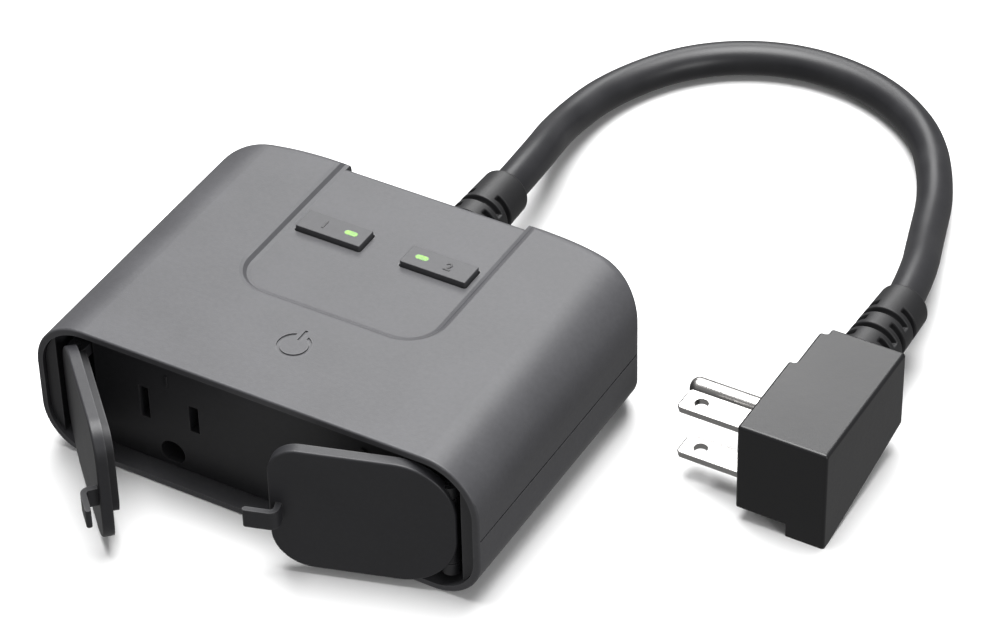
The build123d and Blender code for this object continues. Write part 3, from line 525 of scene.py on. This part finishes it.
@dataclass
class Housing(SubAssembly):
    """The two shells, the outlet face and its seals, with the digits that mark the outlets."""

    mark_height: float = 3.0 * MM
    mark_above_slots: float = 8.2 * MM
    finishes: dict[str, list[str]] = field(default_factory=lambda: {
        HOUSING.name: ["upper_housing", "lower_housing"],
        FACE.name: ["outlet_face"],
        SILICONE.name: ["housing_seal", "button_seal_1", "button_seal_2"],
        ZINC.name: ["housing_screws", "power_board_screws", "control_board_screws", "clamp_screws",
                    "hinge_pin_left", "hinge_pin_right"],
    })

    def build(self, made: dict[str, bpy.types.Material]) -> None:
        """Dresses the nodes and adds a raised digit over each outlet.

        Args:
            made: the finished materials by name.
        """
        self.dress(self.finishes, made)
        for digit in ("1", "2"):
            mount = next(m for m in frame["record"]["mounts"] if m["name"] == f"outlet_{digit}")
            x, y, z = mount["pos_m"]
            centre = Vector((x, y, z + self.mark_above_slots))
            mark = Numeral(digit, self.mark_height).build(
                f"outlet_mark_{digit}", centre, Vector((1, 0, 0)), Vector((0, 0, 1)))
            self.seat(mark, "housing", "face", made[MARK.name])


@dataclass
class Covers(SubAssembly):
    """The two hinged covers with their soft rings."""

    finishes: dict[str, list[str]] = field(default_factory=lambda: {
        COVER.name: ["left_cover", "right_cover"],
        SILICONE.name: ["left_cover_seal", "right_cover_seal"],
    })

    def build(self, made: dict[str, bpy.types.Material]) -> None:
        """Dresses the nodes."""
        self.dress(self.finishes, made)


@dataclass
class Buttons(SubAssembly):
    """The push buttons with their lit windows and the digits on them."""

    mark_height: float = 2.5 * MM
    mark_offset: float = 2.4 * MM
    mark_sink: float = 0.18 * MM
    finishes: dict[str, list[str]] = field(default_factory=lambda: {
        BUTTON.name: ["button_1", "button_2"],
        "green_light_guide": ["light_window_1", "light_window_2"],
    })

    def build(self, made: dict[str, bpy.types.Material]) -> None:
        """Dresses the nodes and adds a digit to each button, on the side away from its window.

        Args:
            made: the finished materials by name.
        """
        self.dress(self.finishes, made)
        for digit, side in (("1", -1), ("2", 1)):
            low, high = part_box(f"button_{digit}")
            middle = (low + high) / 2
            centre = Vector((middle.x + side * self.mark_offset, middle.y, high.z - self.mark_sink))
            mark = Numeral(digit, self.mark_height).build(
                f"button_mark_{digit}", centre, Vector((1, 0, 0)), Vector((0, 1, 0)))
            self.seat(mark, f"button_{digit}", "button", made[MARK.name])


@dataclass
class Insides(SubAssembly):
    """Everything that works inside the shells."""

    finishes: dict[str, list[str]] = field(default_factory=lambda: {
        NYLON.name: ["outlet_carrier_1", "outlet_carrier_2", "cord_clamp"],
        BRASS.name: ["line_contact_1", "line_contact_2", "neutral_bus", "ground_bus"],
        "green_laminate": ["power_board", "control_board"],
        BLACK_CASE.name: ["relay_1", "relay_2", "transformer", "fuse", "tact_switches"],
        SLEEVE.name: ["storage_capacitor", "surge_absorber"],
        TIN_CAN.name: ["radio_module", "status_lights"],
        **{f"insulation_{name}": [name] for name in LEAD_COLOURS},
        "cord_jacket": ["cord_tail"],
    })

    def build(self, made: dict[str, bpy.types.Material]) -> None:
        """Dresses the nodes."""
        self.dress(self.finishes, made)


@dataclass
class FlexBoot(SubAssembly):
    """Tapered strain relief whose flex grooves run round it in rows, each row stopping at two bridges."""

    node: str
    slot: str
    start: float
    length: float
    axis: tuple[float, float]
    first_groove: float
    grooves: int
    neck: tuple[tuple[float, float], ...] = ()
    root_radius: float = 6.7 * MM
    tip_radius: float = 5.9 * MM
    bore_radius: float = 4.25 * MM
    bore_depth: float = 5.0 * MM
    groove_pitch: float = 3.0 * MM
    groove_width: float = 1.5 * MM
    groove_depth: float = 1.5 * MM
    groove_edge: float = 0.18 * MM
    bridge: float = 6.0 * MM
    tip_round: float = 0.8 * MM
    columns: int = 160

    def profile(self) -> tuple[np.ndarray, np.ndarray, np.ndarray]:
        """The boot's outline: places along it, radii, and where grooves may cut.

        The outer side is a straight taper with a quarter circle at the tip, then the flat end down to
        the bore, the bore's wall and its closed bottom.

        Returns:
            Distances along the boot, radii, and a mask that is 1 on the outer side only.
        """
        neck = np.array(self.neck).reshape(-1, 2)
        outer = np.linspace(0.0, self.length - self.tip_round, 230)
        taper = self.root_radius + (self.tip_radius - self.root_radius) * outer / self.length
        turn = np.linspace(0.0, np.pi / 2, 9)[1:]
        tip_along = self.length - self.tip_round + self.tip_round * np.sin(turn)
        tip_radii = taper[-1] - self.tip_round + self.tip_round * np.cos(turn)
        inner_along = np.array([self.length, self.length - self.bore_depth, self.length - self.bore_depth])
        inner_radii = np.array([self.bore_radius, self.bore_radius, 0.0])
        along = np.concatenate([neck[:, 0], outer, tip_along, inner_along])
        radii = np.concatenate([neck[:, 1], taper, tip_radii, inner_radii])
        cut = np.concatenate([np.zeros(len(neck)), np.ones(len(outer)), np.zeros(len(turn) + 3)])
        return along, radii, cut

    def surface(self) -> bpy.types.Object:
        """Makes the boot as radius(angle, place): the outline less groove windows times bridge windows.

        Returns:
            The piece.
        """
        along, radii, cut = self.profile()
        angle = np.linspace(0.0, 2 * np.pi, self.columns, endpoint=False)
        place, turn = np.meshgrid(along, angle, indexing="ij")
        radius = np.repeat(radii[:, None], self.columns, axis=1)
        for row in range(self.grooves):
            middle = self.first_groove + row * self.groove_pitch + self.groove_width / 2
            window = 1.0 - smooth_step(np.abs(place - middle), self.groove_width / 2 - self.groove_edge,
                                       self.groove_width / 2 + self.groove_edge)
            side = np.cos(turn) if row % 2 else np.sin(turn)
            open_part = smooth_step(np.abs(side) * radius, self.bridge / 2 - self.groove_edge,
                                    self.bridge / 2 + self.groove_edge)
            radius = radius - self.groove_depth * window * open_part * cut[:, None]
        x = self.axis[0] + radius * np.sin(turn)
        z = self.axis[1] + radius * np.cos(turn)
        points = np.stack([x, self.start + place, z], axis=-1).reshape(-1, 3)
        return mesh_piece(f"{self.node}_moulding", points, wrapped_faces(len(along), self.columns))

    def build(self, made: dict[str, bpy.types.Material]) -> bpy.types.Object:
        """Makes the boot in place of its node.

        Args:
            made: the finished materials by name.

        Returns:
            The piece.
        """
        piece = self.surface()
        self.seat(piece, "housing", self.slot, made[BOOT.name])
        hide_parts(self.node)
        return piece


@dataclass
class FreeCord(SubAssembly):
    """The short stiff cord that goes from the housing's boot, over the floor, to the plug's boot."""

    diameter: float = 8.5 * MM
    length: float = 0.2402
    route: tuple[Point, ...] = (
        (0, 0.066, 0.016),
        (-0.001, 0.087, 0.0148),
        (-0.007, 0.109, 0.007),
        (-0.0055, 0.1315, 0.0044),
        (0.0065, 0.1515, 0.0044),
        (0.0265, 0.163, 0.0044),
        (0.0495, 0.163, 0.0044),
        (0.0695, 0.1515, 0.0044),
        (0.0815, 0.1315, 0.0044),
        (0.088, 0.1105, 0.0072),
        (0.0945, 0.0915, 0.012),
        (0.0966, 0.075, 0.013),
    )

    def build(self, made: dict[str, bpy.types.Material], with_pieces: list) -> bpy.types.Object:
        """Args:
            made: the finished materials by name.
            with_pieces: not used.

        Returns:
            The cord.
        """
        curve = bpy.data.curves.new("mains_cord", type="CURVE")
        curve.dimensions = "3D"
        spline = curve.splines.new("NURBS")
        spline.points.add(len(self.route) - 1)
        spline.points.foreach_set("co", np.array([(*point, 1.0) for point in self.route]).ravel())
        spline.order_u = 3
        spline.use_endpoint_u = True
        spline.use_smooth = True
        curve.resolution_u = 16
        curve.bevel_depth = self.diameter / 2
        curve.bevel_resolution = 10
        curve.use_fill_caps = True
        cord = bpy.data.objects.new("mains_cord", curve)
        bpy.context.scene.collection.objects.link(cord)
        self.seat(cord, "housing", "cord_jacket", made["cord_jacket"])
        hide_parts("cord")
        return cord


@dataclass
class Plug(SubAssembly):
    """The flat angled plug: its moulding and its three plated contacts."""

    finishes: dict[str, list[str]] = field(default_factory=lambda: {
        PLUG.name: ["plug_body", "plug_core"],
        NICKEL.name: ["line_blade", "neutral_blade", "ground_pin"],
    })

    def build(self, made: dict[str, bpy.types.Material]) -> list:
        """Dresses the nodes.

        Args:
            made: the finished materials by name.

        Returns:
            The plug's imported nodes.
        """
        self.dress(self.finishes, made)
        return [frame["nodes"][name] for names in self.finishes.values() for name in names]


# ---- studio ----------------------------------------------------------------------------------------
@dataclass
class Studio:
    """Pale floor, soft light and the camera."""

    azimuth: float = 30.58
    elevation: float = 39.49
    tilt: float = -1.44
    distance: float = 0.8557
    aim: Point = (0.02217, 0.02926, 0.017)
    lens: float = 139.8
    floor_size: float = 6.0
    sky: float = 0.3

    def camera(self) -> None:
        """Sets the camera at distance from the aim, along the line that azimuth and elevation give."""
        turn, rise, roll = radians(self.azimuth), radians(self.elevation), radians(self.tilt)
        ahead = Vector((-sin(turn) * cos(rise), cos(turn) * cos(rise), -sin(rise)))
        right = Vector((cos(turn), sin(turn), 0.0))
        above = right.cross(ahead)
        across = cos(roll) * right + sin(roll) * above
        upward = cos(roll) * above - sin(roll) * right
        data = bpy.data.cameras.new("studio_camera")
        data.lens = self.lens
        data.sensor_width = 36.0
        data.clip_start = 0.01
        data.clip_end = 20.0
        camera = bpy.data.objects.new("studio_camera", data)
        bpy.context.scene.collection.objects.link(camera)
        place = Vector(self.aim) - ahead * self.distance
        camera.matrix_world = Matrix((
            (across.x, upward.x, -ahead.x, place.x),
            (across.y, upward.y, -ahead.y, place.y),
            (across.z, upward.z, -ahead.z, place.z),
            (0.0, 0.0, 0.0, 1.0)))
        bpy.context.scene.camera = camera

    def floor(self) -> None:
        """Lays a plain pale floor at the height that the housing stands on."""
        half = self.floor_size / 2
        corners = np.array([(-half, -half, 0), (half, -half, 0), (half, half, 0), (-half, half, 0)])
        floor = mesh_piece("floor", corners, np.array([[0, 1, 2, 3]]), smooth=False)
        tree = Tree("pale_floor")
        tree.set(Base_Color=(0.9, 0.9, 0.9), Roughness=0.7, Specular_IOR_Level=0.2)
        floor.data.materials.append(tree.material)
        floor.visible_diffuse = False
        floor.visible_glossy = False

    def lamp(self, name: str, place: Point, size: float, power: float) -> None:
        """Adds a soft square light that faces the object.

        Args:
            name: the light's name.
            place: where it stands.
            size: the length of its side.
            power: its strength in watts.
        """
        data = bpy.data.lights.new(name, type="AREA")
        data.shape = "SQUARE"
        data.size = size
        data.energy = power
        lamp = bpy.data.objects.new(name, data)
        bpy.context.scene.collection.objects.link(lamp)
        lamp.location = place
        towards = Vector(self.aim) - Vector(place)
        lamp.rotation_euler = towards.to_track_quat("-Z", "Y").to_euler()

    def light(self) -> None:
        """Lights the scene: a broad light overhead, one behind, a low one in front, and a pale sky."""
        self.lamp("overhead", (-0.1, 0.25, 1.3), 1.0, 36.0)
        self.lamp("behind", (-0.45, 1.0, 0.75), 0.5, 5.0)
        self.lamp("front_right", (0.9, -0.3, 0.35), 0.3, 2.4)
        world = bpy.data.worlds.new("pale_sky")
        world.use_nodes = True
        background = world.node_tree.nodes["Background"]
        background.inputs["Color"].default_value = (1.0, 1.0, 1.0, 1.0)
        background.inputs["Strength"].default_value = self.sky
        bpy.context.scene.world = world
        bpy.context.scene.view_settings.view_transform = "Standard"


def make_finishes() -> dict[str, bpy.types.Material]:
    """Builds every finish once.

    Returns:
        The materials by finish name.
    """
    finishes = [HOUSING, FACE, COVER, BUTTON, MARK, SILICONE, BOOT, PLUG, NYLON, BLACK_CASE,
                SLEEVE, NICKEL, BRASS, ZINC, TIN_CAN, Laminate(), LightGuide(), Jacket()]
    finishes += [Moulding(f"insulation_{name}", colour, Gloss.SHEEN, grain=0.0005)
                 for name, colour in LEAD_COLOURS.items()]
    return {finish.name: finish.make() for finish in finishes}


def boots() -> tuple[FlexBoot, FlexBoot]:
    """The housing's boot and the plug's, placed by their nodes.

    Returns:
        The housing's boot and the plug's boot.
    """
    low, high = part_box("housing_boot")
    wall_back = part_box("upper_housing")[1].y
    wall, neck, flange = 2.2 * MM, 6.15 * MM, 8.0 * MM
    flange_back = -wall - 2.0 * MM
    flange_front = -wall - 0.2 * MM
    housing_boot = FlexBoot("housing_boot", "cord_jacket", wall_back, high.y - wall_back,
                            ((low.x + high.x) / 2, (low.z + high.z) / 2), 7.0 * MM, 5,
                            ((flange_back, 0.0), (flange_back, flange), (flange_front, flange),
                             (flange_front, neck), (-0.01 * MM, neck)))
    low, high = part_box("plug_boot")
    plug_boot = FlexBoot("plug_boot", "cord_jacket", low.y, high.y - low.y,
                         ((low.x + high.x) / 2, (low.z + high.z) / 2), 8.5 * MM, 5, ((0.0, 0.0),))
    return housing_boot, plug_boot


def main() -> None:
    """Builds the studio and every sub-assembly, in order, and reports each piece."""
    logging.basicConfig(level=logging.INFO, format="%(name)s: %(message)s")
    studio = Studio()
    studio.camera()
    studio.floor()
    studio.light()
    made = make_finishes()
    housing_boot, plug_boot = boots()
    housing_boot.build(made)
    plug_pieces = Plug().build(made) + [plug_boot.build(made)]
    FreeCord().build(made, plug_pieces)
    Housing().build(made)
    Covers().build(made)
    Buttons().build(made)
    Insides().build(made)


if __name__ == "__main__":
    main()
